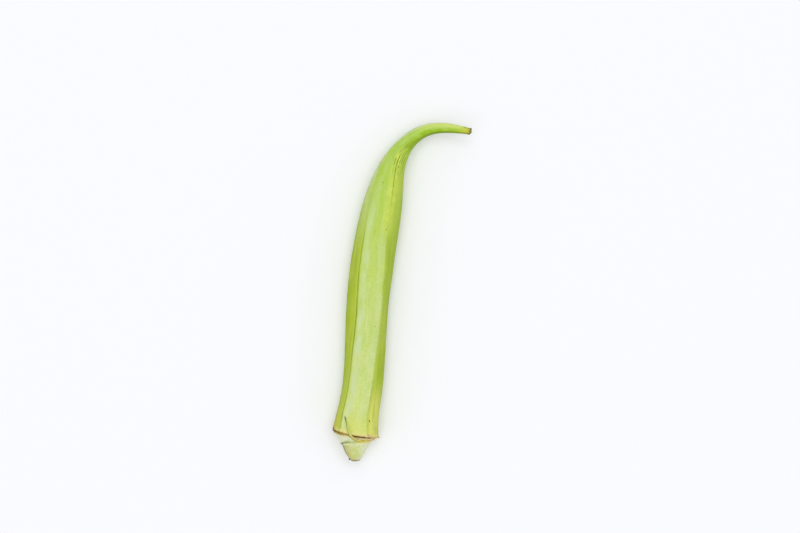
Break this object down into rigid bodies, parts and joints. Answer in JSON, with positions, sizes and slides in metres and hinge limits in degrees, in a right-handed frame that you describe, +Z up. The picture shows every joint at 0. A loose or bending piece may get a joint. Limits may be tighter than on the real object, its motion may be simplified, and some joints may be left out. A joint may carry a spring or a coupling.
{
  "type": "okra pod",
  "caption": "Ribbed, tapering okra pod as picked, its neck hooked to one side, with its cap, cut stalk, torn calyx rim and one thin bract.",
  "frame": {"origin": "centre of the footprint, on the surface that the pod lies on", "axes": "+Z up from that surface, +Y from the cut stalk towards the hooked neck, +X to the side that the tip points to"},
  "size_m": [0.0588, 0.1418, 0.0182],
  "materials": {
    "pod_skin": "satin",
    "stalk_skin": "satin",
    "dry_calyx": "matte",
    "bract_skin": "satin"
  },
  "bodies": {
    "root": {"pod": "pod_skin", "stalk": "stalk_skin", "calyx_rim": "dry_calyx", "bract": "bract_skin"}
  },
  "joints": []
}
